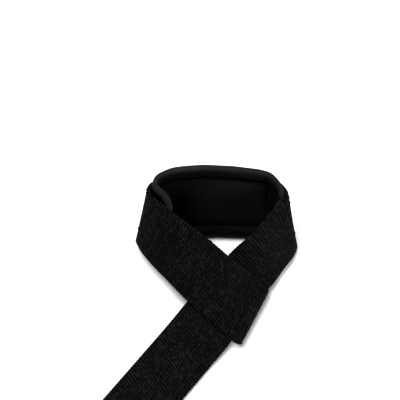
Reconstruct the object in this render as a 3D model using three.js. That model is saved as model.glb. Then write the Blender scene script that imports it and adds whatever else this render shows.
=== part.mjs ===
import * as THREE from 'three';

// A padded lifting strap lying on the floor as a noose, as it is put down before use.
// Millimetres, +Z up. The floor is z = 0 and the origin is under the middle of the strap.

// Webbing
const WEB_WIDTH = 38;
const WEB_THICK = 2.2;
const LAYER_GAP = 0.4;      // air between two layers of webbing
const SELVEDGE = 0.5;       // how far each edge is rounded off

// Noose
const NOOSE_SPAN = 93;      // left corner to right corner, along the webbing's middle
const NOOSE_REACH = 58;     // crossing to the back, along the webbing's middle
const CORNER_LIFT = 18;     // height of the webbing's middle at the two corners
const TAIL_LENGTH = 240;    // free end, from where it leaves the slot
const TAIL_HEADING = 229.8; // degrees from +X, seen from above

// Wrist pad
const PAD_WIDTH = 50;
const PAD_LENGTH = 132;     // along the webbing that it lies on
const PAD_EDGE = 5.4;       // thickest part of the rolled border
const PAD_SEAM = 2.0;       // thickness under the sunken seam
const PAD_PANEL = 4.0;      // thickness of the middle
const ROLL_WIDTH = 8;       // border roll, outline to seam
const PAD_CORNER = 10;      // radius of the pad's outline at its ends
const PAD_GAP = 0.3;        // pad to webbing

const LAYER = WEB_THICK + LAYER_GAP;
const RAD = Math.PI / 180;

// The webbing's route from its slot to its free end. Each row is one place on its middle line.
// x: share of NOOSE_SPAN. y: share of NOOSE_REACH, both from the crossing.
// layer: layers of webbing that lie below. lift: share of CORNER_LIFT above them.
// tilt, aim: how steeply, and which way, a line from the lower to the upper edge runs, in degrees.
// narrow: share of WEB_WIDTH that is left where the slot squeezes it. out: share of TAIL_LENGTH.
const ROUTE = [
  { x:  0.141, y: -0.180, layer: 2, lift: 0.06, tilt:  3, aim:  62, narrow: 1.00, out: 0 },
  { x:  0.009, y: -0.016, layer: 2, lift: 0.23, tilt: 11, aim:  55, narrow: 1.00, out: 0 },
  { x: -0.138, y:  0.172, layer: 2, lift: 0.46, tilt: 21, aim:  50, narrow: 1.00, out: 0 },
  { x: -0.288, y:  0.384, layer: 2, lift: 0.64, tilt: 33, aim:  50, narrow: 1.00, out: 0 },
  { x: -0.432, y:  0.576, layer: 1, lift: 0.95, tilt: 44, aim:  54, narrow: 1.00, out: 0 },
  { x: -0.534, y:  0.735, layer: 0, lift: 1.18, tilt: 52, aim:  62, narrow: 1.00, out: 0 },
  { x: -0.569, y:  0.831, layer: 0, lift: 1.14, tilt: 55, aim:  68, narrow: 1.00, out: 0 },
  { x: -0.541, y:  0.917, layer: 0, lift: 1.03, tilt: 54, aim:  77, narrow: 1.00, out: 0 },
  { x: -0.445, y:  0.983, layer: 0, lift: 0.94, tilt: 51, aim:  86, narrow: 1.00, out: 0 },
  { x: -0.188, y:  1.044, layer: 0, lift: 0.93, tilt: 49, aim:  90, narrow: 1.00, out: 0 },
  { x:  0.081, y:  1.041, layer: 0, lift: 0.93, tilt: 49, aim:  90, narrow: 1.00, out: 0 },
  { x:  0.308, y:  0.984, layer: 0, lift: 0.97, tilt: 54, aim:  95, narrow: 1.00, out: 0 },
  { x:  0.420, y:  0.786, layer: 0, lift: 1.05, tilt: 60, aim: 111, narrow: 1.00, out: 0 },
  { x:  0.359, y:  0.639, layer: 0, lift: 0.96, tilt: 52, aim: 130, narrow: 1.00, out: 0 },
  { x:  0.246, y:  0.423, layer: 0, lift: 0.87, tilt: 46, aim: 142, narrow: 0.96, out: 0 },
  { x:  0.106, y:  0.217, layer: 1, lift: 0.32, tilt: 16, aim: 142, narrow: 0.86, out: 0 },
  { x: -0.012, y: -0.003, layer: 1, lift: 0.13, tilt:  6, aim: 140, narrow: 0.86, out: 0 },
  { x: -0.132, y: -0.259, layer: 1, lift: 0.00, tilt:  0, aim: 140, narrow: 0.97, out: 0 },
  { x: -0.132, y: -0.259, layer: 0, lift: 0.00, tilt:  0, aim: 140, narrow: 0.97, out: 0.09 },
  { x: -0.132, y: -0.259, layer: 0, lift: 0.00, tilt:  0, aim: 140, narrow: 0.97, out: 0.22 },
  { x: -0.132, y: -0.259, layer: 0, lift: 0.00, tilt:  0, aim: 140, narrow: 0.97, out: 0.55 },
  { x: -0.132, y: -0.259, layer: 0, lift: 0.00, tilt:  0, aim: 140, narrow: 0.97, out: 1.00 },
];

// The slot's lower layer, from its sewn end under the left leg to the fold.
// It follows the route's own rows: at is the row it runs under, and drop is how much of the way
// down to the floor it goes, from 0 against the leg to 1 on the floor. narrow is as above.
const SLOT = [
  { at: 0.00, drop: 1.00, narrow: 1.00 },
  { at: 1.50, drop: 1.00, narrow: 0.95 },
  { at: 1.80, drop: 0.96, narrow: 0.88 },
  { at: 2.10, drop: 0.87, narrow: 0.84 },
  { at: 2.45, drop: 0.36, narrow: 0.86 },
  { at: 2.70, drop: 0.00, narrow: 0.92 },
  { at: 3.20, drop: 0.00, narrow: 0.92 },
];

// The pad's outline along its length. s: share of PAD_LENGTH from its left end.
// up, down: shares of PAD_WIDTH above and below the webbing's middle line.
// puff: share of its thickness that is left where a bend squeezes it.
const PAD_SHAPE = [
  { s: 0.00, up: 0.50, down: 0.32, puff: 0.85 },
  { s: 0.07, up: 0.50, down: 0.35, puff: 0.80 },
  { s: 0.15, up: 0.50, down: 0.37, puff: 0.75 },
  { s: 0.22, up: 0.52, down: 0.41, puff: 0.80 },
  { s: 0.30, up: 0.54, down: 0.45, puff: 1.00 },
  { s: 0.42, up: 0.53, down: 0.49, puff: 1.00 },
  { s: 0.55, up: 0.51, down: 0.49, puff: 1.00 },
  { s: 0.70, up: 0.50, down: 0.49, puff: 1.00 },
  { s: 0.79, up: 0.49, down: 0.42, puff: 0.85 },
  { s: 0.87, up: 0.48, down: 0.36, puff: 0.68 },
  { s: 0.93, up: 0.37, down: 0.34, puff: 0.70 },
  { s: 1.00, up: 0.32, down: 0.33, puff: 0.85 },
];
const PAD_MIDDLE = 0.545;   // share of the noose's length at the pad's middle

const COUNT = {
  perRow: 6,                // sections between two rows of the route
  fold: 8,                  // sections round the slot's fold
  across: 4,                // faces across the webbing
  padLong: 34,              // faces along the pad's middle
  padAcross: 5,             // faces across the pad's middle
};

// Places across the pad's border, from its outline inwards, as shares of ROLL_WIDTH.
const BORDER = [0, 0.06, 0.22, 0.5, 0.78, 0.94, 1.0, 1.1, 1.5];

function mix(a, b, t) {
  return a + (b - a) * t;
}

// A curve through rows of numbers, the first three of which are the place.
function curveThrough(points, at) {
  const last = points.length - 1;
  const i = Math.min(Math.floor(at), last - 1);
  const pick = (k) => {
    if (k < 0) {
      return points[0].map((v, j) => 2 * v - points[1][j]);
    }
    if (k > last) {
      return points[last].map((v, j) => 2 * v - points[last - 1][j]);
    }
    return points[k];
  };
  const p = [pick(i - 1), pick(i), pick(i + 1), pick(i + 2)];
  const knots = [0];
  for (let k = 0; k < 3; k += 1) {
    const span = Math.hypot(p[k + 1][0] - p[k][0], p[k + 1][1] - p[k][1], p[k + 1][2] - p[k][2]);
    knots.push(knots[k] + Math.sqrt(span));
  }
  const x = mix(knots[1], knots[2], at - i);
  const blend = (a, b, from, to) => a.map((v, j) => mix(v, b[j], (x - from) / (to - from)));
  const a = [0, 1, 2].map((k) => blend(p[k], p[k + 1], knots[k], knots[k + 1]));
  const b = [0, 1].map((k) => blend(a[k], a[k + 1], knots[k], knots[k + 2]));
  return blend(b[0], b[1], knots[1], knots[2]);
}

function smoothTable(rows, key, at, name) {
  const last = rows.length - 1;
  if (at <= rows[0][key]) {
    return rows[0][name];
  }
  if (at >= rows[last][key]) {
    return rows[last][name];
  }
  const i = rows.findIndex((row) => row[key] > at) - 1;
  const t = (at - rows[i][key]) / (rows[i + 1][key] - rows[i][key]);
  return mix(rows[i][name], rows[i + 1][name], t * t * (3 - 2 * t));
}

const heading = new THREE.Vector3(Math.cos(TAIL_HEADING * RAD), Math.sin(TAIL_HEADING * RAD), 0);

const routePoints = ROUTE.map((row) => {
  const x = row.x * NOOSE_SPAN + row.out * TAIL_LENGTH * heading.x;
  const y = row.y * NOOSE_REACH + row.out * TAIL_LENGTH * heading.y;
  const z = WEB_THICK / 2 + row.layer * LAYER + row.lift * (CORNER_LIFT - WEB_THICK / 2);
  const flat = Math.cos(row.tilt * RAD);
  const ray = [flat * Math.cos(row.aim * RAD), flat * Math.sin(row.aim * RAD), Math.sin(row.tilt * RAD)];
  return [x, y, z, ...ray, row.narrow];
});

// The floor stops whatever would sink below it.
function restOnFloor(place, ray, normal, width) {
  const low = place.z - Math.abs(ray.z) * width / 2 - Math.abs(normal.z) * WEB_THICK / 2;
  place.z -= Math.min(low, 0);
}

// One section of a strip, from a function that gives its place, edge line and width.
function sectionOf(placeOf, at, first, last) {
  const step = 0.01;
  const { place, ray, width } = placeOf(at);
  const before = placeOf(Math.max(at - step, first)).place;
  const along = placeOf(Math.min(at + step, last)).place.sub(before).normalize();
  const square = ray.clone().addScaledVector(along, -ray.dot(along)).length();
  const normal = along.clone().cross(ray).normalize();
  ray.divideScalar(square);
  restOnFloor(place, ray, normal, width);
  return { place, along, ray, normal, width };
}

function routePlace(at) {
  const here = curveThrough(routePoints, at);
  const place = new THREE.Vector3(here[0], here[1], here[2]);
  const ray = new THREE.Vector3(here[3], here[4], here[5]).normalize();
  return { place, ray, width: WEB_WIDTH * here[6] };
}

function sectionAt(at) {
  return sectionOf(routePlace, at, 0, ROUTE.length - 1);
}

// The slot's lower layer hangs under the route's own sections and comes down to the floor.
function slotPlace(at) {
  const upper = sectionAt(at);
  const drop = smoothTable(SLOT, 'at', at, 'drop');
  const under = upper.place.clone().addScaledVector(upper.normal, LAYER);
  const onFloor = new THREE.Vector3(under.x, under.y, WEB_THICK / 2);
  const flatRay = new THREE.Vector3(upper.ray.x, upper.ray.y, 0).normalize();
  const ray = upper.ray.clone().normalize().lerp(flatRay, drop).normalize();
  const width = WEB_WIDTH * smoothTable(SLOT, 'at', at, 'narrow');
  return { place: under.lerp(onFloor, drop), ray, width };
}

// From the slot's sewn end, round its fold, and on to the free end. Each normal points to the
// inside of the slot and of the noose.
function webbingSections() {
  const list = [];
  const sewnEnd = SLOT[SLOT.length - 1].at;
  const steps = Math.round(COUNT.perRow * sewnEnd);
  for (let k = 0; k < steps; k += 1) {
    const low = sectionOf(slotPlace, mix(sewnEnd, 0, k / steps), 0, sewnEnd);
    list.push({ ...low, normal: low.normal.negate() });
  }
  const upper = sectionAt(0);
  const lower = sectionOf(slotPlace, 0, 0, sewnEnd);
  const middle = upper.place.clone().add(lower.place).multiplyScalar(0.5);
  const rise = upper.place.clone().sub(lower.place).multiplyScalar(0.5);
  const out = upper.ray.clone().cross(rise).normalize();
  out.multiplyScalar(-Math.sign(out.dot(upper.along)) * rise.length());
  for (let k = 0; k <= COUNT.fold; k += 1) {
    const turn = Math.PI * k / COUNT.fold;
    const place = middle.clone().addScaledVector(rise, -Math.cos(turn)).addScaledVector(out, Math.sin(turn));
    const normal = middle.clone().sub(place).normalize();
    const ray = lower.ray.clone().lerp(upper.ray, k / COUNT.fold);
    list.push({ place, ray, normal, width: WEB_WIDTH });
  }
  const end = ROUTE.length - 1;
  for (let k = 1; k <= end * COUNT.perRow; k += 1) {
    list.push(sectionAt(k / COUNT.perRow));
  }
  return list;
}

// Points round one section of webbing: across share of the width, and height share of half the thickness.
function webbingProfile() {
  const half = 0.5;
  const inset = SELVEDGE / WEB_WIDTH;
  const top = [];
  for (let k = 0; k <= COUNT.across; k += 1) {
    top.push([mix(-half + inset, half - inset, k / COUNT.across), 1]);
  }
  const bottom = top.map(([u]) => [u, -1]).reverse();
  const side = 1 - SELVEDGE / (WEB_THICK / 2);
  return [...top, [half, side], [half, -side], ...bottom, [-half, -side], [-half, side]];
}

function meshFrom(name, positions, faces, material) {
  const geometry = new THREE.BufferGeometry();
  geometry.setAttribute('position', new THREE.Float32BufferAttribute(positions.flat(), 3));
  geometry.setIndex(faces.flat());
  geometry.computeVertexNormals();
  const mesh = new THREE.Mesh(geometry, material);
  mesh.name = name;
  return mesh;
}

// Joins rings of equal length, and closes both ends with a fan.
function loft(rings) {
  const size = rings[0].length;
  const positions = rings.flat();
  const faces = [];
  for (let i = 0; i + 1 < rings.length; i += 1) {
    for (let j = 0; j < size; j += 1) {
      const a = i * size + j;
      const b = i * size + (j + 1) % size;
      faces.push([a, b, b + size], [a, b + size, a + size]);
    }
  }
  const last = (rings.length - 1) * size;
  for (let j = 1; j + 1 < size; j += 1) {
    faces.push([0, j + 1, j], [last, last + j, last + j + 1]);
  }
  return { positions, faces };
}

function volumeOf({ positions, faces }) {
  let sum = 0;
  for (const [a, b, c] of faces) {
    const p = new THREE.Vector3(...positions[a]);
    const q = new THREE.Vector3(...positions[b]);
    const r = new THREE.Vector3(...positions[c]);
    sum += p.dot(q.cross(r)) / 6;
  }
  return sum;
}

function facingOut(solid) {
  if (volumeOf(solid) < 0) {
    solid.faces.forEach((face) => face.reverse());
  }
  return solid;
}

function buildWebbing() {
  const profile = webbingProfile();
  const rings = webbingSections().map((s) => profile.map(([u, h]) => s.place.clone()
    .addScaledVector(s.ray, u * s.width)
    .addScaledVector(s.normal, h * WEB_THICK / 2)
    .toArray()));
  return facingOut(loft(rings));
}

// The noose's middle line, as the length run at each row from the fold to the slot.
const SLOT_ROW = 16;
function nooseRuns() {
  const steps = SLOT_ROW * 24;
  const list = [{ at: 0, run: 0 }];
  let previous = sectionAt(0).place;
  for (let k = 1; k <= steps; k += 1) {
    const at = k * SLOT_ROW / steps;
    const place = sectionAt(at).place;
    list.push({ at, run: list[k - 1].run + place.distanceTo(previous) });
    previous = place;
  }
  return list;
}

function rowAtRun(list, run) {
  const i = Math.max(list.findIndex((item) => item.run >= run), 1);
  const t = (run - list[i - 1].run) / (list[i].run - list[i - 1].run);
  return mix(list[i - 1].at, list[i].at, t);
}

// Heights of the pad's two faces above its seat, at a distance in from its outline.
function padFaces(inward) {
  if (inward < ROLL_WIDTH) {
    const t = inward / ROLL_WIDTH;
    const crown = Math.sqrt(Math.max(1 - (2 * t - 1) ** 2, 0));
    if (t < 0.5) {
      return { back: PAD_EDGE / 2 * (1 - crown), front: PAD_EDGE / 2 * (1 + crown) };
    }
    return { back: 0, front: mix(PAD_SEAM, PAD_EDGE, crown) };
  }
  const t = Math.min((inward - ROLL_WIDTH) / (ROLL_WIDTH / 2), 1);
  return { back: 0, front: mix(PAD_SEAM, PAD_PANEL, Math.sin(t * Math.PI / 2)) };
}

// Distances from one side of the pad to the other: its border, its middle, its border.
function padPlaces(size, count) {
  const border = BORDER.map((share) => share * ROLL_WIDTH);
  const inset = border[border.length - 1];
  const middle = [];
  for (let k = 1; k < count; k += 1) {
    middle.push(mix(inset, size - inset, k / count));
  }
  return [...border, ...middle, ...border.map((d) => size - d).reverse()];
}

function buildPad() {
  const runs = nooseRuns();
  const start = PAD_MIDDLE * runs[runs.length - 1].run - PAD_LENGTH / 2;
  const seat = WEB_THICK / 2 + PAD_GAP;
  const front = [];
  const back = [];
  const rows = padPlaces(PAD_LENGTH, COUNT.padLong);
  for (const along of rows) {
    const section = sectionAt(rowAtRun(runs, start + along));
    const fromEnd = Math.min(along, PAD_LENGTH - along);
    const bite = Math.max(PAD_CORNER - fromEnd, 0);
    const corner = PAD_CORNER - Math.sqrt(PAD_CORNER ** 2 - bite ** 2);
    const s = along / PAD_LENGTH;
    const up = smoothTable(PAD_SHAPE, 's', s, 'up') * PAD_WIDTH - corner;
    const down = smoothTable(PAD_SHAPE, 's', s, 'down') * PAD_WIDTH - corner;
    const puff = smoothTable(PAD_SHAPE, 's', s, 'puff');
    for (const rise of padPlaces(up + down, COUNT.padAcross)) {
      const faces = padFaces(Math.min(fromEnd, rise, up + down - rise));
      const base = section.place.clone().addScaledVector(section.ray, rise - down);
      front.push(base.clone().addScaledVector(section.normal, seat + faces.front * puff).toArray());
      back.push(base.clone().addScaledVector(section.normal, seat + faces.back * puff).toArray());
    }
  }
  return facingOut(closeSheets(front, back, rows.length, front.length / rows.length));
}

// Two grids of points that share their outline, joined into one closed form.
function closeSheets(front, back, long, wide) {
  const positions = [...front];
  const backIndex = back.map((point, k) => {
    const i = Math.floor(k / wide);
    const j = k % wide;
    if (i === 0 || j === 0 || i === long - 1 || j === wide - 1) {
      return k;
    }
    positions.push(point);
    return positions.length - 1;
  });
  const faces = [];
  for (let i = 0; i + 1 < long; i += 1) {
    for (let j = 0; j + 1 < wide; j += 1) {
      const a = i * wide + j;
      const corners = [a, a + wide, a + wide + 1, a + 1];
      const [p, q, r, t] = corners;
      faces.push([p, q, r], [p, r, t]);
      const [pb, qb, rb, tb] = corners.map((k) => backIndex[k]);
      faces.push([pb, rb, qb], [pb, tb, rb]);
    }
  }
  const real = faces.filter(([x, y, z]) => x !== y && y !== z && z !== x);
  return { positions, faces: real };
}

const blackWebbing = new THREE.MeshStandardMaterial({ color: 0x17171a, roughness: 0.85, metalness: 0 });
const blackPad = new THREE.MeshStandardMaterial({ color: 0x1d1d20, roughness: 0.7, metalness: 0 });

const strap = new THREE.Group();
const webbing = buildWebbing();
const pad = buildPad();
strap.add(meshFrom('webbing', webbing.positions, webbing.faces, blackWebbing));
strap.add(meshFrom('wrist_pad', pad.positions, pad.faces, blackPad));

// The origin goes under the middle of the strap, on the floor.
const box = new THREE.Box3().setFromObject(strap);
const middle = box.getCenter(new THREE.Vector3());
strap.position.set(-middle.x, -middle.y, -box.min.z);
strap.updateMatrixWorld(true);

export default strap;
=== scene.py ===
import math
from collections import namedtuple

import bpy
import numpy as np
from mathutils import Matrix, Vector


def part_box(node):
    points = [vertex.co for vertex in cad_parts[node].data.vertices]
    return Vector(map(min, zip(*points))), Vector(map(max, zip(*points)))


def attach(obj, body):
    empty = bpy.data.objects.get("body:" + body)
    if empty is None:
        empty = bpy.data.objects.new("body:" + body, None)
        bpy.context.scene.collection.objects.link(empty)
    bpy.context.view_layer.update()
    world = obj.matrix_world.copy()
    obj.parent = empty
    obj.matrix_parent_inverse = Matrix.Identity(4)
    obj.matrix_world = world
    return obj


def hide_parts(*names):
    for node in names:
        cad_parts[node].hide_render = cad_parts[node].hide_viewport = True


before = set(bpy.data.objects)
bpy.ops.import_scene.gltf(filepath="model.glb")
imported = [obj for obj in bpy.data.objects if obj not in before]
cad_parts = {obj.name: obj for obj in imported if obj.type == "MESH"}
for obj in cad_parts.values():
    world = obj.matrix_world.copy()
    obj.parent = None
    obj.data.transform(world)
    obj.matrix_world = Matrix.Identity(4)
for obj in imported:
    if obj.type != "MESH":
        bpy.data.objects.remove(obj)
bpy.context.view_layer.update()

# Sizes in millimetres, as in the CAD model. Meshes are scaled to metres when they are made.
WEB_WIDTH = 38.0
WEB_THICK = 2.2
LAYER_GAP = 0.4         # air between two layers of webbing
NOOSE_SPAN = 93.0       # left corner to right corner, along the webbing's middle
NOOSE_REACH = 58.0      # crossing to the back, along the webbing's middle
CORNER_LIFT = 18.0      # height of the webbing's middle at the two corners
TAIL_LENGTH = 240.0     # free end, from where it leaves the slot
TAIL_HEADING = 229.8    # degrees from +X, seen from above
PAD_WIDTH = 50.0
PAD_LENGTH = 132.0      # along the webbing that it lies on
PAD_EDGE = 5.4          # thickest part of the rolled border
PAD_SEAM = 2.0          # thickness under the sunken seam
PAD_PANEL = 4.0         # thickness of the middle
ROLL_WIDTH = 8.0        # border roll, outline to seam
PAD_CORNER = 10.0       # radius of the pad's outline at its ends
PAD_GAP = 0.3           # pad to webbing
PAD_MIDDLE = 0.545      # share of the noose's length at the pad's middle
SLOT_ROW = 16           # row of the route where the noose ends, in the slot
LAYER = WEB_THICK + LAYER_GAP
PAD_SEAT = WEB_THICK / 2 + PAD_GAP
MM = 0.001

# Sizes of the detail that only this scene has, in millimetres.
RIB_PITCH = 1.9
RIB_DEPTH = 0.34        # crest to valley
RIB_PROUD = 0.12        # crest above the CAD's face
RIB_FADE = 2.2          # width beside each edge where the ribs are lower
EDGE_ROUND = 0.55       # how far each edge is rounded off
SCALLOP = 0.3           # how far the edge swells at each rib
GRAIN = 1.75            # length of one grain of the weave, along its rib
TAIL_SKEW = 0.25        # lean of the ribs on the free end, for each millimetre across
SKEW_RUN = 40.0         # length over which the lean sets in
PUCKER = 0.12           # height of the puckers beside the pad's seam
PUCKER_REACH = 1.6
CREASE_DEPTH = 0.9      # of the pad's crease at the right corner
STITCH_LENGTH = 2.7
STITCH_SPACE = 3.3      # start of one stitch to the start of the next
THREAD = 0.34           # radius of a stitch
THREAD_ARCH = 0.55      # height of its arch, as a share of that radius
THREAD_SINK = 2.4       # how far its ends sink, as a share of the arch
THREAD_FLAT = 0.8       # height of its section, as a share of the width
SEWN_ROWS = (2.72, 3.14)  # rows of the route between which the slot's end is sewn
SEWN_INSET = 3.0        # box of stitches to the webbing's edge

# How finely the meshes are cut.
PER_ROW = 24            # sections between two rows of the route
FOLD_STEPS = 16         # sections round the slot's fold
RIB_STEPS = 6           # sections in one rib
WEB_FACES = 16          # faces across the webbing
EDGE_STEPS = 4          # faces round its edge
ROLL_STEPS = 16         # faces across the pad's roll
PAD_LONG = 99           # faces along the pad's middle
PAD_ACROSS = 20         # faces across the pad's middle
THREAD_RINGS = 7
THREAD_SIDES = 6

# The camera's place from the crossing of the noose, and its tilt from straight down.
CAMERA_PLACE = np.array([-17.5, -176.27, 666.88])
CAMERA_TILT = 20
LENS = 99
SENSOR = 36

# The stage, in metres.
FLOOR_REACH = 3.0
FLOOR_DROP = 0.0002     # floor below the strap, so that no two faces coincide
WORLD_LIGHT = 0.16
SHEEN_TINT = (0.9, 0.9, 0.95, 1)

# Lights: name, place, aim, size and power in watts.
LIGHTS = [
    ("key", (-0.24, 0.55, 1.0), (0.05, 0.03, 0), (1.1, 0.9), 24),
    ("fill", (0.9, -0.7, 0.28), (0.06, 0.03, 0), (0.6, 0.35), 14),
]

# The webbing's route from its slot to its free end, a row for each place on its middle line.
# x, y: shares of span and reach. layer: layers below. lift: share of the corners' height.
# tilt, aim: steepness and heading of the edge-to-edge line, in degrees.
# narrow: share of the width. out: share of the tail.
ROUTE_COLUMNS = ("x", "y", "layer", "lift", "tilt", "aim", "narrow", "out")
ROUTE = [
    (0.141, -0.180, 2, 0.06, 3, 62, 1.00, 0),
    (0.009, -0.016, 2, 0.23, 11, 55, 1.00, 0),
    (-0.138, 0.172, 2, 0.46, 21, 50, 1.00, 0),
    (-0.288, 0.384, 2, 0.64, 33, 50, 1.00, 0),
    (-0.432, 0.576, 1, 0.95, 44, 54, 1.00, 0),
    (-0.534, 0.735, 0, 1.18, 52, 62, 1.00, 0),
    (-0.569, 0.831, 0, 1.14, 55, 68, 1.00, 0),
    (-0.541, 0.917, 0, 1.03, 54, 77, 1.00, 0),
    (-0.445, 0.983, 0, 0.94, 51, 86, 1.00, 0),
    (-0.188, 1.044, 0, 0.93, 49, 90, 1.00, 0),
    (0.081, 1.041, 0, 0.93, 49, 90, 1.00, 0),
    (0.308, 0.984, 0, 0.97, 54, 95, 1.00, 0),
    (0.420, 0.786, 0, 1.05, 60, 111, 1.00, 0),
    (0.359, 0.639, 0, 0.96, 52, 130, 1.00, 0),
    (0.246, 0.423, 0, 0.87, 46, 142, 0.96, 0),
    (0.106, 0.217, 1, 0.32, 16, 142, 0.86, 0),
    (-0.012, -0.003, 1, 0.13, 6, 140, 0.86, 0),
    (-0.132, -0.259, 1, 0.00, 0, 140, 0.97, 0),
    (-0.132, -0.259, 0, 0.00, 0, 140, 0.97, 0.09),
    (-0.132, -0.259, 0, 0.00, 0, 140, 0.97, 0.22),
    (-0.132, -0.259, 0, 0.00, 0, 140, 0.97, 0.55),
    (-0.132, -0.259, 0, 0.00, 0, 140, 0.97, 1.00),
]

# The slot's lower layer, from its sewn end to the fold:
# (row of the route that it runs under, share of the way down to the floor, narrow).
SLOT = [
    (0.00, 1.00, 1.00),
    (1.50, 1.00, 0.95),
    (1.80, 0.96, 0.88),
    (2.10, 0.87, 0.84),
    (2.45, 0.36, 0.86),
    (2.70, 0.00, 0.92),
    (3.20, 0.00, 0.92),
]

# The pad's outline: (share of its length, up, down as shares of its width, puff).
# puff: share of its thickness that is left where a bend squeezes it.
PAD_SHAPE = [
    (0.00, 0.50, 0.32, 0.85),
    (0.07, 0.50, 0.35, 0.80),
    (0.15, 0.50, 0.37, 0.75),
    (0.22, 0.52, 0.41, 0.80),
    (0.30, 0.54, 0.45, 1.00),
    (0.42, 0.53, 0.49, 1.00),
    (0.55, 0.51, 0.49, 1.00),
    (0.70, 0.50, 0.49, 1.00),
    (0.79, 0.49, 0.42, 0.85),
    (0.87, 0.48, 0.36, 0.68),
    (0.93, 0.37, 0.34, 0.70),
    (1.00, 0.32, 0.33, 0.85),
]

# One section of the webbing: its middle, its edge-to-edge line, its normal and its width.
# Each normal points to the inside of the slot and of the noose.
Section = namedtuple("Section", "place ray normal width")


def unit(v):
    return v / np.linalg.norm(v)


def mix(a, b, t):
    return a + (b - a) * t


def ease(x):
    """From 0 to 1 with a smooth start and end."""
    x = min(max(x, 0.0), 1.0)
    return x * x * (3 - 2 * x)


def onset(x, start, width):
    """0 up to the start, and 1 from a width after it."""
    return ease((x - start) / width)


def hump(x, middle, width):
    """1 at the middle, falling to nothing on both sides."""
    return math.exp(-((x - middle) / width) ** 2)


def curve_through(points, at):
    """A centripetal curve through rows of numbers, the first three of which are the place."""
    last = len(points) - 1
    i = min(int(at), last - 1)
    before = points[i - 1] if i > 0 else 2 * points[0] - points[1]
    after = points[i + 2] if i + 2 <= last else 2 * points[last] - points[last - 1]
    p = [before, points[i], points[i + 1], after]
    knots = [0.0]
    for k in range(3):
        knots.append(knots[k] + math.sqrt(np.linalg.norm(p[k + 1][:3] - p[k][:3])))
    x = mix(knots[1], knots[2], at - i)

    def blend(a, b, start, end):
        return mix(a, b, (x - start) / (end - start))

    a = [blend(p[k], p[k + 1], knots[k], knots[k + 1]) for k in range(3)]
    b = [blend(a[k], a[k + 1], knots[k], knots[k + 2]) for k in range(2)]
    return blend(b[0], b[1], knots[1], knots[2])


def smooth_table(rows, at, column):
    """A column of a table at a value of its first column, eased between rows."""
    keys = [row[0] for row in rows]
    if at <= keys[0]:
        return rows[0][column]
    if at >= keys[-1]:
        return rows[-1][column]
    i = next(k for k, key in enumerate(keys) if key > at) - 1
    t = (at - keys[i]) / (keys[i + 1] - keys[i])
    return mix(rows[i][column], rows[i + 1][column], ease(t))


def route_points():
    heading = math.radians(TAIL_HEADING)
    points = []
    for values in ROUTE:
        row = dict(zip(ROUTE_COLUMNS, values))
        x = row["x"] * NOOSE_SPAN + row["out"] * TAIL_LENGTH * math.cos(heading)
        y = row["y"] * NOOSE_REACH + row["out"] * TAIL_LENGTH * math.sin(heading)
        z = WEB_THICK / 2 + row["layer"] * LAYER + row["lift"] * (CORNER_LIFT - WEB_THICK / 2)
        tilt = math.radians(row["tilt"])
        aim = math.radians(row["aim"])
        ray = (math.cos(tilt) * math.cos(aim), math.cos(tilt) * math.sin(aim), math.sin(tilt))
        points.append(np.array([x, y, z, *ray, row["narrow"]]))
    return points


POINTS = route_points()


def section_of(place_of, at, first, last):
    """One section of a strip, from a function that gives its place, edge line and width."""
    step = 0.01
    place, ray, width = place_of(at)
    before = place_of(max(at - step, first))[0]
    after = place_of(min(at + step, last))[0]
    along = unit(after - before)
    square = np.linalg.norm(ray - along * ray.dot(along))
    normal = unit(np.cross(along, ray))
    ray = ray / square
    # the floor stops whatever would sink below it
    low = place[2] - abs(ray[2]) * width / 2 - abs(normal[2]) * WEB_THICK / 2
    place = place - np.array([0, 0, min(low, 0)])
    return Section(place, ray, normal, width)


def route_place(at):
    here = curve_through(POINTS, at)
    return here[:3], unit(here[3:6]), WEB_WIDTH * here[6]


def section_at(at):
    return section_of(route_place, at, 0, len(ROUTE) - 1)


def slot_place(at):
    """The slot's lower layer hangs under the route's own sections and comes down to the floor."""
    upper = section_at(at)
    drop = smooth_table(SLOT, at, 1)
    under = upper.place + upper.normal * LAYER
    on_floor = np.array([under[0], under[1], WEB_THICK / 2])
    flat_ray = unit(np.array([upper.ray[0], upper.ray[1], 0]))
    ray = unit(mix(unit(upper.ray), flat_ray, drop))
    return mix(under, on_floor, drop), ray, WEB_WIDTH * smooth_table(SLOT, at, 2)


def stack(sections):
    """Sections as arrays, with the length run at each."""
    strip = {}
    for key in Section._fields:
        strip[key] = np.array([getattr(section, key) for section in sections])
    strip["width"] = strip["width"][:, None]
    steps = np.linalg.norm(np.diff(strip["place"], axis=0), axis=1)
    strip["run"] = np.concatenate([[0], np.cumsum(steps)])
    return strip


def at_run(strip, run):
    """A strip's sections at the given runs."""
    found = {}
    for key in Section._fields:
        found[key] = np.array([np.interp(run, strip["run"], column) for column in strip[key].T]).T
    found["normal"] /= np.linalg.norm(found["normal"], axis=1)[:, None]
    return found


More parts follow.
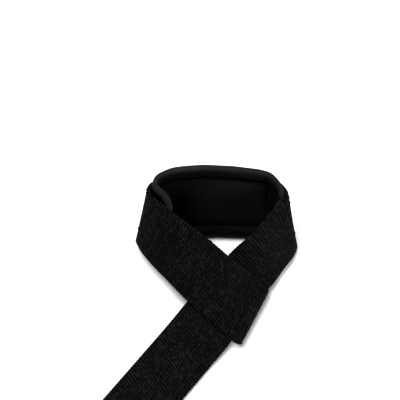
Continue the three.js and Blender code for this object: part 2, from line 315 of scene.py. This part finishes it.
def webbing_sections():
    """From the slot's sewn end, round its fold, and on to the free end."""
    sewn_end = SLOT[-1][0]
    steps = int(PER_ROW * sewn_end)
    sections = []
    for k in range(steps):
        low = section_of(slot_place, mix(sewn_end, 0, k / steps), 0, sewn_end)
        sections.append(low._replace(normal=-low.normal))
    upper = section_at(0)
    lower = section_of(slot_place, 0, 0, sewn_end)
    middle = (upper.place + lower.place) / 2
    rise = (upper.place - lower.place) / 2
    ahead = np.cross(upper.ray, upper.normal)
    out = unit(np.cross(upper.ray, rise))
    out = out * -np.sign(out.dot(ahead)) * np.linalg.norm(rise)
    for k in range(FOLD_STEPS + 1):
        turn = math.pi * k / FOLD_STEPS
        place = middle - rise * math.cos(turn) + out * math.sin(turn)
        ray = mix(lower.ray, upper.ray, k / FOLD_STEPS)
        sections.append(Section(place, ray, unit(middle - place), WEB_WIDTH))
    rows = np.arange((len(ROUTE) - 1) * PER_ROW + 1) / PER_ROW
    for at in rows[1:]:
        sections.append(section_at(at))
    strip = stack(sections)
    # the row of the route at each section, and -1 in the slot's lower layer and fold
    strip["row"] = np.concatenate([np.full(steps + FOLD_STEPS, -1.0), rows])
    return strip


def make_object(name, vertices, faces, uv=None, painted_light_and_wear=None):
    """A smooth mesh in metres from points in millimetres, moved to the CAD's origin."""
    mesh = bpy.data.meshes.new(name)
    placed = (np.asarray(vertices) + SHIFT) * MM
    mesh.from_pydata(placed.tolist(), [], [tuple(face) for face in faces])
    mesh.polygons.foreach_set("use_smooth", [True] * len(mesh.polygons))
    if uv is not None:
        loops = np.empty(len(mesh.loops), dtype=np.int32)
        mesh.loops.foreach_get("vertex_index", loops)
        layer = mesh.uv_layers.new(name="UVMap")
        layer.data.foreach_set("uv", (np.asarray(uv)[loops] * MM).ravel())
    # the attribute holds painted highlight and painted shade, and some paleness worn in by rubbing
    if painted_light_and_wear is not None:
        attribute = mesh.attributes.new("painted_light_and_wear", "FLOAT", "POINT")
        attribute.data.foreach_set("value", np.asarray(painted_light_and_wear, dtype=np.float32))
    mesh.update()
    obj = bpy.data.objects.new(name, mesh)
    bpy.context.scene.collection.objects.link(obj)
    return obj


def grid_faces(rows, columns):
    """Quads of a grid of points whose rows are closed into rings."""
    index = np.arange(rows * columns).reshape(rows, columns)
    ring = np.concatenate([index, index[:, :1]], axis=1)
    corners = [ring[:-1, :-1], ring[:-1, 1:], ring[1:, 1:], ring[1:, :-1]]
    return np.stack([corner.ravel() for corner in corners], axis=1).tolist()


def face_out(vertices, faces):
    """Turns the faces over where the closed form's volume is negative."""
    v = np.asarray(vertices)
    total = 0.0
    for face in faces:
        a = v[face[0]]
        for k in range(1, len(face) - 1):
            total += a.dot(np.cross(v[face[k]], v[face[k + 1]]))
    if total < 0:
        return [list(reversed(face)) for face in faces]
    return faces


def webbing_ring():
    """Points round one section, each as (share of half the width, of half the thickness, face).

    The face is 1 on top, -1 below and 0 on an edge.
    """
    inset = 1 - 2 * EDGE_ROUND / WEB_WIDTH
    places = np.linspace(-inset, inset, WEB_FACES + 1)
    turns = np.linspace(0, math.pi, EDGE_STEPS + 1)[1:-1]
    ring = [(u, 1.0, 1) for u in places]
    ring += [(inset + (1 - inset) * math.sin(t), math.cos(t), 0) for t in turns]
    ring += [(-u, -1.0, -1) for u in places]
    ring += [(-inset - (1 - inset) * math.sin(t), -math.cos(t), 0) for t in turns]
    return np.array(ring)


def rib_height(phase):
    """Height of a rib from its valley, 0 to 1: round crests and narrow valleys."""
    return np.abs(np.sin(math.pi * phase)) ** 0.6


def rib_count(strip):
    return round(strip["run"][-1] / RIB_PITCH)


def rib_skew(strip, run):
    """How far the ribs lean for each millimetre across: not in the noose, more on the free end."""
    leaning = np.interp(SLOT_ROW - 1, strip["row"], strip["run"])
    share = np.clip((run - leaning) / SKEW_RUN, 0, 1)
    return TAIL_SKEW * share * share * (3 - 2 * share)


def make_webbing(strip):
    length = strip["run"][-1]
    ribs = rib_count(strip)
    run = np.linspace(0, length, ribs * RIB_STEPS + 1)
    here = at_run(strip, run)
    across, height, side = webbing_ring().T[:, None]
    leant = run[:, None] + rib_skew(strip, run)[:, None] * across * WEB_WIDTH / 2
    phase = leant / length * ribs
    # the ribs below lie under the valleys above
    crest = np.where(side < 0, rib_height(phase + 0.5), rib_height(phase))
    from_edge = (1 - np.abs(across)) * WEB_WIDTH / 2
    fade = mix(0.75, 1.0, np.clip(from_edge / RIB_FADE, 0, 1))
    relief = np.where(side == 0, 0, RIB_PROUD + RIB_DEPTH * (crest - 1)) * fade
    scallop = np.where(side == 0, SCALLOP * (rib_height(phase) - 0.8), 0) * np.sign(across)
    u = (across * here["width"] / 2 + scallop)[:, :, None]
    h = (height * WEB_THICK / 2 + relief * np.sign(height))[:, :, None]
    points = here["place"][:, None] + here["ray"][:, None] * u + here["normal"][:, None] * h
    rows, columns = points.shape[:2]
    ends = [list(reversed(range(columns))), list(range((rows - 1) * columns, rows * columns))]
    vertices = points.reshape(-1, 3)
    faces = face_out(vertices, grid_faces(rows, columns) + ends)
    uv = np.stack(np.broadcast_arrays(across * WEB_WIDTH / 2, leant), axis=2).reshape(-1, 2)
    return make_object("strap_webbing", vertices, faces, uv=uv)


def pad_faces(inward):
    """Heights of the pad's back and front above its seat, at a distance in from its outline."""
    if inward < ROLL_WIDTH:
        t = inward / ROLL_WIDTH
        crown = math.sqrt(max(1 - (2 * t - 1) ** 2, 0))
        if t < 0.5:
            return PAD_EDGE / 2 * (1 - crown), PAD_EDGE / 2 * (1 + crown)
        return 0, mix(PAD_SEAM, PAD_EDGE, crown)
    beyond = min((inward - ROLL_WIDTH) / (ROLL_WIDTH / 2), 1)
    return 0, mix(PAD_SEAM, PAD_PANEL, math.sin(beyond * math.pi / 2))


def pad_inward(along, from_low, from_high):
    """Distance in from the pad's rounded outline."""
    p = min(along, PAD_LENGTH - along)
    q = min(from_low, from_high)
    if p < PAD_CORNER and q < PAD_CORNER:
        return max(PAD_CORNER - math.hypot(PAD_CORNER - p, PAD_CORNER - q), 0.0)
    return max(min(p, q), 0.0)


def pad_sides(along):
    """The pad's reach above and below the webbing's middle line, its corners left square, and its puff."""
    share = along / PAD_LENGTH
    up = smooth_table(PAD_SHAPE, share, 1) * PAD_WIDTH
    down = smooth_table(PAD_SHAPE, share, 2) * PAD_WIDTH
    return up, down, smooth_table(PAD_SHAPE, share, 3)


def corner_bite(along):
    """How much the rounded corners take off each side of the pad."""
    bite = max(PAD_CORNER - min(along, PAD_LENGTH - along), 0)
    return PAD_CORNER - math.sqrt(max(PAD_CORNER ** 2 - bite ** 2, 0))


def pad_places(size, count):
    """Distances from one side of the pad to the other: its border, its middle, its border."""
    turns = np.linspace(0, math.pi, ROLL_STEPS + 1)
    roll = ROLL_WIDTH * (1 - np.cos(turns)) / 2
    bank = ROLL_WIDTH + np.array([0.06, 0.14, 0.25, 0.4]) * ROLL_WIDTH
    border = np.concatenate([roll, bank])
    middle = np.linspace(border[-1], size - border[-1], count + 1)[1:-1]
    return np.concatenate([border, middle, size - border[::-1]])


def bend_crease(along):
    """The pad's crease where it bends into the right corner."""
    return hump(along / PAD_LENGTH, 0.755, 0.013)


def pad_relief(along, side, inward, puff):
    """What the cloth adds to the pad's front: slight swells, puckers along the seam, and the crease."""
    swell = 0.16 * math.sin(along * 0.11 + side * 0.05) * math.sin(side * 0.13 + 0.7)
    swell += 0.07 * math.sin(along * 0.31 + 1.3) * math.sin(side * 0.27)
    pucker = PUCKER * math.cos(2 * math.pi * (along + side) / STITCH_SPACE)
    pucker *= hump(inward, ROLL_WIDTH, PUCKER_REACH)
    settled = min(inward / ROLL_WIDTH, 1)
    return settled * (swell - CREASE_DEPTH * bend_crease(along)) + pucker * puff


def front_painted_light_and_wear(along, side, inward, size):
    """Above 0 where a highlight is painted on the roll's crest, partly worn by rubbing; below 0 where shade
    is painted on the knit.
    """
    share = along / PAD_LENGTH
    height = side / size
    depth = inward / ROLL_WIDTH
    upper = onset(height, 0.35, 0.3)
    # painted highlight on the upper roll's crest, partly worn by rubbing
    crest = hump(depth, 0.1, 0.17) * upper
    # painted shade on the roll's inner flank, darkest towards the left end
    flank = mix(0.6, 0.3, onset(share, 0.45, 0.2)) * onset(depth, 0.22, 0.25)
    flank *= 1 - onset(depth, 1.0, 0.25)
    # painted shade along the seam's groove
    seam = hump(depth, 0.98, 0.22) * mix(0.1, 1.0, upper)
    # painted shade on the panel's two ends, the crease between it and the right end, and the panel's lower
    # part
    left = ease((0.56 - share) / 0.24) * mix(1.0, 0.6, onset(height, 0.45, 0.4))
    right = 0.6 * onset(share, 0.73, 0.05)
    crease = bend_crease(along) * mix(0.3, 1.0, upper)
    low = 0.45 * (1 - onset(height, 0.05, 0.5))
    panel = max(left, right, crease) * onset(depth, 0.45, 0.3)
    return crest - max(seam, flank, panel, low)


def back_painted_light_and_wear(side, inward, size):
    """The same for the pad's back: a highlight painted on the rolled border, partly worn by rubbing, and
    shade painted in the crevice below it.
    """
    upper = onset(side / size, 0.35, 0.3)
    depth = inward / ROLL_WIDTH
    return 0.65 * upper * (1 - onset(depth, 0.2, 0.2)) - onset(depth, 0.35, 0.2)


def make_pad(noose, start):
    rows = pad_places(PAD_LENGTH, PAD_LONG)
    here = at_run(noose, start + rows)
    front = []
    back = []
    uv = []
    painted_light_and_wear = []
    lit_and_worn_back = []
    for i, along in enumerate(rows):
        up, down, puff = pad_sides(along)
        corner = corner_bite(along)
        for rise in pad_places(up + down - 2 * corner, PAD_ACROSS):
            side = rise + corner
            inward = pad_inward(along, side, up + down - side)
            low, high = pad_faces(inward)
            high = high * puff + pad_relief(along, side, inward, puff)
            base = here["place"][i] + here["ray"][i] * (side - down)
            front.append(base + here["normal"][i] * (PAD_SEAT + high))
            back.append(base + here["normal"][i] * (PAD_SEAT + low * puff))
            uv.append((side - down, along))
            # painted highlight and painted shade for the pad's front and back, partly worn by rubbing
            painted_light_and_wear.append(front_painted_light_and_wear(along, side, inward, up + down))
            lit_and_worn_back.append(back_painted_light_and_wear(side, inward, up + down))
    return close_sheets("strap_pad", front, back, uv, painted_light_and_wear, lit_and_worn_back, len(rows))


def close_sheets(name, front, back, uv, painted_light_and_wear, lit_and_worn_back, rows):
    """Two grids of points that share their outline, joined into one closed form."""
    columns = len(front) // rows
    index = np.arange(rows * columns).reshape(rows, columns)
    behind = index.copy()
    points = list(front)
    uv = list(uv)
    painted_light_and_wear = list(painted_light_and_wear)
    for i in range(1, rows - 1):
        for j in range(1, columns - 1):
            behind[i, j] = len(points)
            points.append(back[i * columns + j])
            uv.append(uv[i * columns + j])
            painted_light_and_wear.append(lit_and_worn_back[i * columns + j])
    faces = []
    for i in range(rows - 1):
        for j in range(columns - 1):
            quad = [(i, j), (i, j + 1), (i + 1, j + 1), (i + 1, j)]
            faces.append([int(index[k]) for k in quad])
            faces.append([int(behind[k]) for k in reversed(quad)])
    return make_object(name, points, face_out(points, faces), uv=uv, painted_light_and_wear=painted_light_and_wear)


def seam_line():
    """Places round the pad's seam, which follows its rounded outline.

    Each is (along, the side it is measured from, distance from that side's outline).
    """
    radius = PAD_CORNER - ROLL_WIDTH
    line = []
    for along in np.arange(PAD_CORNER, PAD_LENGTH - PAD_CORNER, 0.5):
        line.append((along, "low", ROLL_WIDTH))
    for end, way in ((PAD_LENGTH - PAD_CORNER, 1), (PAD_CORNER, -1)):
        first, second = ("low", "high") if way > 0 else ("high", "low")
        for turn in np.linspace(0, math.pi / 2, 16):
            across = PAD_CORNER - radius * math.cos(turn)
            line.append((end + way * radius * math.sin(turn), first, across))
        here = end + way * radius
        up, down, _ = pad_sides(here)
        for reach in np.linspace(0, up + down - 2 * PAD_CORNER, 24):
            line.append((here, first, PAD_CORNER + reach))
        for turn in np.linspace(math.pi / 2, 0, 16):
            across = PAD_CORNER - radius * math.cos(turn)
            line.append((end + way * radius * math.sin(turn), second, across))
        if way > 0:
            for along in np.arange(PAD_LENGTH - PAD_CORNER, PAD_CORNER, -0.5):
                line.append((along, "high", ROLL_WIDTH))
    return line


def seam_places(noose, start, lift):
    """The seam's line in space, with the normal there. lift gives its height above the webbing's middle."""
    places = []
    normals = []
    for along, side, reach in seam_line():
        up, down, puff = pad_sides(along)
        across = reach - down if side == "low" else up - reach
        here = at_run(noose, np.array([start + along]))
        base = here["place"][0] + here["ray"][0] * across
        places.append(base + here["normal"][0] * lift(puff))
        normals.append(here["normal"][0])
    return np.array(places), np.array(normals)


def strip_places(strip, corners, lift):
    """A line over the webbing through corners (run, across), at a height along its normal."""
    places = []
    normals = []
    for (run_a, across_a), (run_b, across_b) in zip(corners[:-1], corners[1:]):
        span = math.hypot(run_b - run_a, across_b - across_a)
        shares = np.arange(0, 1, 0.4 / span)
        here = at_run(strip, mix(run_a, run_b, shares))
        across = mix(across_a, across_b, shares)[:, None]
        places.extend(here["place"] + here["ray"] * across + here["normal"] * lift)
        normals.extend(here["normal"])
    return np.array(places), np.array(normals)


def make_stitches(name, lines):
    """Short threads along lines, each an arch whose ends sink into the cloth.

    Each line is (places, normals, out), where out is 1 or -1 along the normals.
    """
    share = np.linspace(-1, 1, THREAD_RINGS)
    arch = THREAD * THREAD_ARCH * (1 - THREAD_SINK * share ** 4)
    radius = THREAD * np.sqrt(np.maximum(1 - share ** 6, 0.04))
    sides = range(THREAD_SIDES)
    vertices = []
    faces = []
    for places, normals, out in lines:
        run = np.concatenate([[0], np.cumsum(np.linalg.norm(np.diff(places, axis=0), axis=1))])
        count = int(run[-1] / STITCH_SPACE)
        for k in range(count):
            runs = (k + 0.5) * run[-1] / count + share / 2 * STITCH_LENGTH
            spot = np.array([np.interp(runs, run, column) for column in places.T]).T
            up = np.array([np.interp(runs, run, column) for column in normals.T]).T * out
            up /= np.linalg.norm(up, axis=1)[:, None]
            ahead = unit(spot[-1] - spot[0])
            spot = spot + up * arch[:, None]
            first = len(vertices)
            for ring in range(THREAD_RINGS):
                beside = unit(np.cross(ahead, up[ring]))
                for side in sides:
                    angle = 2 * math.pi * side / THREAD_SIDES
                    offset = beside * math.cos(angle) + up[ring] * math.sin(angle) * THREAD_FLAT
                    vertices.append(spot[ring] + offset * radius[ring])
            for face in grid_faces(THREAD_RINGS, THREAD_SIDES):
                faces.append([first + v for v in face])
            last = first + (THREAD_RINGS - 1) * THREAD_SIDES
            faces.append([first + side for side in reversed(sides)])
            faces.append([last + side for side in sides])
    return make_object(name, vertices, faces)


class Shader:
    """A small helper that adds nodes to one material."""

    def __init__(self, name):
        self.material = bpy.data.materials.new(name)
        self.material.use_nodes = True
        self.nodes = self.material.node_tree.nodes
        self.links = self.material.node_tree.links
        self.surface = self.nodes["Principled BSDF"]

    def put(self, value, socket):
        if isinstance(value, bpy.types.NodeSocket):
            self.links.new(value, socket)
        else:
            socket.default_value = value

    def add(self, kind, inputs=None, **settings):
        node = self.nodes.new(kind)
        for key, value in settings.items():
            setattr(node, key, value)
        for key, value in (inputs or {}).items():
            self.put(value, node.inputs[key])
        return node

    def set(self, **values):
        for key, value in values.items():
            self.put(value, self.surface.inputs[key.replace("_", " ")])

    def math(self, operation, a, b=0.0, clamp=False):
        node = self.add("ShaderNodeMath", {0: a, 1: b}, operation=operation, use_clamp=clamp)
        return node.outputs[0]

    def plus(self, a, b):
        return self.math("ADD", a, b)

    def minus(self, a, b):
        return self.math("SUBTRACT", a, b)

    def times(self, a, b, clamp=False):
        return self.math("MULTIPLY", a, b, clamp)

    def floor(self, a):
        return self.math("FLOOR", a)

    def wave(self, phase):
        """0 at each whole number, and 1 half way between."""
        return self.math("ABSOLUTE", self.math("SINE", self.times(phase, math.pi)))

    def spread(self, value, low, high, start=0.0, end=1.0):
        """low up to the start, high from the end, and in proportion between."""
        inputs = {"Value": value, "From Min": start, "From Max": end, "To Min": low, "To Max": high}
        return self.add("ShaderNodeMapRange", inputs).outputs[0]

    def ramp(self, fac, stops):
        """A tone by value, from stops of (value, tone)."""
        node = self.add("ShaderNodeValToRGB", {"Fac": fac})
        elements = node.color_ramp.elements
        while len(elements) < len(stops):
            elements.new(0.5)
        for element, (place, tone) in zip(elements, stops):
            element.position = place
            element.color = (tone, tone, tone, 1)
        return node.outputs["Color"]

    def blend(self, fac, a, b, kind="MIX"):
        node = self.add("ShaderNodeMix", data_type="RGBA", blend_type=kind)
        self.put(fac, node.inputs["Factor"])
        self.put(a, node.inputs[6])
        self.put(b, node.inputs[7])
        return node.outputs[2]

    def place(self):
        return self.add("ShaderNodeTexCoord").outputs["Object"]

    def flat_place(self):
        """Place on the flat cloth in millimetres: across it, and along it."""
        uv = self.add("ShaderNodeUVMap", uv_map="UVMap").outputs[0]
        scale = (1 / MM, 1 / MM, 1 / MM)
        return self.add("ShaderNodeVectorMath", {0: uv, 1: scale}, operation="MULTIPLY").outputs[0]

    def noise(self, vector, scale, detail, roughness=0.5):
        inputs = {"Vector": vector, "Scale": scale, "Detail": detail, "Roughness": roughness}
        return self.add("ShaderNodeTexNoise", inputs).outputs["Fac"]

    def chance(self, dimensions, **inputs):
        """A random value that stays the same over one cell."""
        node = self.add("ShaderNodeTexWhiteNoise", inputs, noise_dimensions=dimensions)
        return node.outputs["Value"]

    def bump(self, height, strength, depth):
        """A normal from heights, for a depth in millimetres."""
        inputs = {"Strength": strength, "Distance": depth * MM, "Height": height}
        return self.add("ShaderNodeBump", inputs).outputs[0]


def webbing_material(rib_pitch):
    s = Shader("webbing_cloth")
    flat = s.flat_place()
    split = s.add("ShaderNodeSeparateXYZ", {0: flat})
    across = split.outputs[0]
    ribs = s.math("DIVIDE", split.outputs[1], rib_pitch)
    fibre = s.noise(flat, scale=1.9, detail=4.0, roughness=0.75)
    # each rib is a row of grains, set off from the next row by about half a grain
    row = s.floor(ribs)
    wander = s.times(s.minus(s.noise(flat, scale=0.45, detail=2.0), 0.5), 1.1)
    half_step = s.times(s.math("FLOORED_MODULO", row, 2.0), 0.5)
    shift = s.plus(half_step, s.times(s.chance("1D", W=row), 0.4))
    grains = s.plus(s.math("DIVIDE", s.plus(across, wander), GRAIN), shift)
    grain = s.math("POWER", s.wave(grains), 0.7)
    cell = s.add("ShaderNodeCombineXYZ", {0: s.floor(grains), 1: row}).outputs[0]
    chance = s.chance("2D", Vector=cell)
    # painted shade: the valleys between ribs are painted dark, but bridged by yarn here and there
    valley = s.floor(s.plus(ribs, 0.5))
    stretch = s.floor(s.plus(s.math("DIVIDE", across, GRAIN), s.times(valley, 0.37)))
    spot = s.add("ShaderNodeCombineXYZ", {0: stretch, 1: valley, 2: 0.5}).outputs[0]
    bridge = s.math("MAXIMUM", s.minus(s.times(s.chance("3D", Vector=spot), 1.3), 0.4), 0.0)
    rise = s.math("MAXIMUM", s.math("POWER", s.wave(ribs), 1.6), bridge)
    # in patches the valleys' painted shade is weaker, and hardly shows
    weaker_valley_shade = s.spread(s.noise(flat, scale=0.16, detail=1.0), 0.0, 0.45, start=0.4, end=0.62)
    rise = s.plus(rise, s.times(weaker_valley_shade, s.minus(0.6, rise)))
    # painted highlight: what stands high is painted paler, on some grains more than on others
    catch = s.plus(s.times(chance, 0.55), s.times(grain, 0.35))
    crest = s.times(rise, s.plus(catch, 0.2))
    yarn = s.ramp(crest, [(0.0, 0.0001), (0.2, 0.0004), (0.45, 0.0055), (0.75, 0.0125), (1.0, 0.0220)])
    cloudy = s.noise(s.place(), scale=55.0, detail=3.0)
    mottle = s.ramp(cloudy, [(0.3, 0.65), (0.7, 1.3)])
    lint = s.ramp(fibre, [(0.35, 0.2), (0.7, 1.8)])
    color = s.blend(1.0, s.blend(1.0, yarn, mottle, "MULTIPLY"), lint, "MULTIPLY")
    proud = s.times(grain, s.plus(chance, 0.25))
    height = s.plus(s.times(proud, 0.8), s.times(fibre, 0.6))
    # painted shade: deep between the yarns the specular and sheen are taken down
    raised = s.plus(s.times(rise, 0.85), 0.15)
    s.set(
        Base_Color=color,
        Roughness=s.spread(fibre, 0.65, 0.95),
        Normal=s.bump(height, strength=1.0, depth=0.35),
        Specular_IOR_Level=s.times(raised, 0.13),
        Sheen_Weight=s.times(raised, 0.038),
        Sheen_Roughness=0.4,
        Sheen_Tint=SHEEN_TINT,
    )
    return s.material


def pad_material():
    s = Shader("pad_knit")
    flat = s.flat_place()
    loops = s.add("ShaderNodeTexBrick", {
        "Vector": flat, "Color1": (0.2, 0.2, 0.2, 1), "Color2": (1, 1, 1, 1), "Mortar": (0, 0, 0, 1),
        "Scale": 1.0, "Mortar Size": 0.12, "Mortar Smooth": 1.0, "Bias": 0.0,
        "Brick Width": 0.7, "Row Height": 0.5,
    }, offset=0.5, offset_frequency=2)
    fibre = s.noise(flat, scale=2.6, detail=5.0, roughness=0.65)
    cloudy = s.noise(s.place(), scale=60.0, detail=3.0)
    painted_light_and_wear = s.add("ShaderNodeAttribute", attribute_name="painted_light_and_wear").outputs["Fac"]
    body = s.ramp(fibre, [(0.3, 0.005), (0.7, 0.011)])
    knit = s.blend(0.35, body, loops.outputs["Color"], "MULTIPLY")
    # painted highlight on the roll's crest, partly worn by rubbing, then painted shade where the attribute
    # falls below 0
    highlight_and_wear = s.times(painted_light_and_wear, s.plus(s.times(cloudy, 0.6), 0.5), clamp=True)
    painted_shade = s.times(painted_light_and_wear, -1.0, clamp=True)
    knit_with_light_and_wear = s.blend(highlight_and_wear, knit, (0.026, 0.026, 0.027, 1))
    knit_with_light_and_wear = s.blend(painted_shade, knit_with_light_and_wear, (0.0003, 0.0003, 0.0003, 1))
    mottle = s.ramp(cloudy, [(0.3, 0.8), (0.7, 1.2)])
    height = s.plus(s.times(loops.outputs["Fac"], -0.5), s.times(fibre, 0.6))
    # where shade is painted, the specular and sheen are taken away too
    outside_painted_shade = s.minus(1.0, painted_shade)
    s.set(
        Base_Color=s.blend(1.0, knit_with_light_and_wear, mottle, "MULTIPLY"),
        Roughness=s.spread(fibre, 0.7, 0.9),
        Normal=s.bump(height, strength=0.5, depth=0.12),
        Specular_IOR_Level=s.times(outside_painted_shade, 0.12),
        Sheen_Weight=s.times(outside_painted_shade, 0.05),
        Sheen_Roughness=0.35,
        Sheen_Tint=SHEEN_TINT,
    )
    return s.material


def thread_material():
    s = Shader("black_thread")
    twist = s.add("ShaderNodeTexWave", {
        "Vector": s.place(), "Scale": 900.0, "Distortion": 1.5, "Detail": 2.0,
    }, wave_type="BANDS", bands_direction="DIAGONAL").outputs["Fac"]
    s.set(
        Base_Color=s.ramp(twist, [(0.2, 0.004), (0.8, 0.014)]),
        Roughness=0.6,
        Normal=s.bump(twist, strength=0.6, depth=0.06),
        Specular_IOR_Level=0.12,
    )
    return s.material


def floor_material():
    s = Shader("pale_floor")
    faint = s.noise(s.place(), scale=8.0, detail=2.0)
    s.set(Base_Color=s.ramp(faint, [(0.3, 0.93), (0.7, 0.95)]), Roughness=0.9, Specular_IOR_Level=0.2)
    return s.material


def add_camera():
    lens = bpy.data.cameras.new("camera")
    lens.lens = LENS
    lens.sensor_width = SENSOR
    lens.clip_start = 0.01
    camera = bpy.data.objects.new("camera", lens)
    camera.location = (SHIFT + CAMERA_PLACE) * MM
    camera.rotation_euler = (math.radians(CAMERA_TILT), 0, 0)
    bpy.context.scene.collection.objects.link(camera)
    bpy.context.scene.camera = camera


def add_floor():
    r = FLOOR_REACH
    mesh = bpy.data.meshes.new("floor")
    mesh.from_pydata([(-r, -r, 0), (r, -r, 0), (r, r, 0), (-r, r, 0)], [], [(0, 1, 2, 3)])
    floor = bpy.data.objects.new("floor", mesh)
    floor.location.z = -FLOOR_DROP
    floor.data.materials.append(floor_material())
    bpy.context.scene.collection.objects.link(floor)


def add_light(name, place, aim, size, power):
    light = bpy.data.lights.new(name, "AREA")
    light.shape = "RECTANGLE"
    light.size = size[0]
    light.size_y = size[1]
    light.energy = power
    obj = bpy.data.objects.new(name, light)
    obj.location = place
    toward = np.array(aim) - np.array(place)
    yaw = math.atan2(toward[1], toward[0])
    pitch = math.acos(-toward[2] / np.linalg.norm(toward))
    obj.rotation_euler = (pitch, 0, yaw - math.pi / 2)
    bpy.context.scene.collection.objects.link(obj)


def add_world():
    world = bpy.data.worlds.new("studio")
    world.use_nodes = True
    background = world.node_tree.nodes["Background"]
    background.inputs["Color"].default_value = (1, 1, 1, 1)
    background.inputs["Strength"].default_value = WORLD_LIGHT
    bpy.context.scene.world = world


# The CAD's origin is found from the webbing's lowest corner.
strip = webbing_sections()
half = strip["ray"] * strip["width"] / 2
edges = np.concatenate([strip["place"] - half, strip["place"] + half])
low_corner = np.array(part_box("webbing")[0]) / MM
SHIFT = np.zeros(3)
SHIFT[:2] = low_corner[:2] - edges.min(axis=0)[:2]

add_camera()

webbing = make_webbing(strip)
noose_rows = np.arange(SLOT_ROW * PER_ROW + 1) / PER_ROW
noose = stack([section_at(at) for at in noose_rows])
pad_start = PAD_MIDDLE * noose["run"][-1] - PAD_LENGTH / 2
pad = make_pad(noose, pad_start)

# One seam goes through the pad's front and shows on the webbing's outer face too.
outer_face = -WEB_THICK / 2 - RIB_PROUD / 2
front_seam = seam_places(noose, pad_start, lambda puff: PAD_SEAT + PAD_SEAM * puff)
outer_seam = seam_places(noose, pad_start, lambda puff: outer_face)
pad_stitches = make_stitches("pad_stitches", [(*front_seam, 1)])

# The slot's sewn end shows on the left leg as a box of stitches with one diagonal.
sewn_from, sewn_to = np.interp(SEWN_ROWS, noose_rows, noose["run"])
side = WEB_WIDTH / 2 - SEWN_INSET
box_line = [
    (sewn_from, -side), (sewn_to, -side), (sewn_to, side), (sewn_from, side), (sewn_from, -side),
    (sewn_to, side),
]
box_stitches = strip_places(noose, box_line, outer_face)
web_stitches = make_stitches("webbing_stitches", [(*outer_seam, -1), (*box_stitches, -1)])

cloth = webbing_material(strip["run"][-1] / rib_count(strip))
knit = pad_material()
thread = thread_material()
pieces = [
    (webbing, cloth, "webbing"),
    (pad, knit, "wrist_pad"),
    (pad_stitches, thread, "wrist_pad"),
    (web_stitches, thread, "webbing"),
]
for piece, material, slot in pieces:
    piece.data.materials.append(material)
    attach(piece, "root")
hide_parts("webbing")
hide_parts("wrist_pad")

add_floor()
add_world()
for light in LIGHTS:
    add_light(*light)
bpy.context.scene.view_settings.view_transform = "Standard"
bpy.context.scene.view_settings.gamma = 0.8
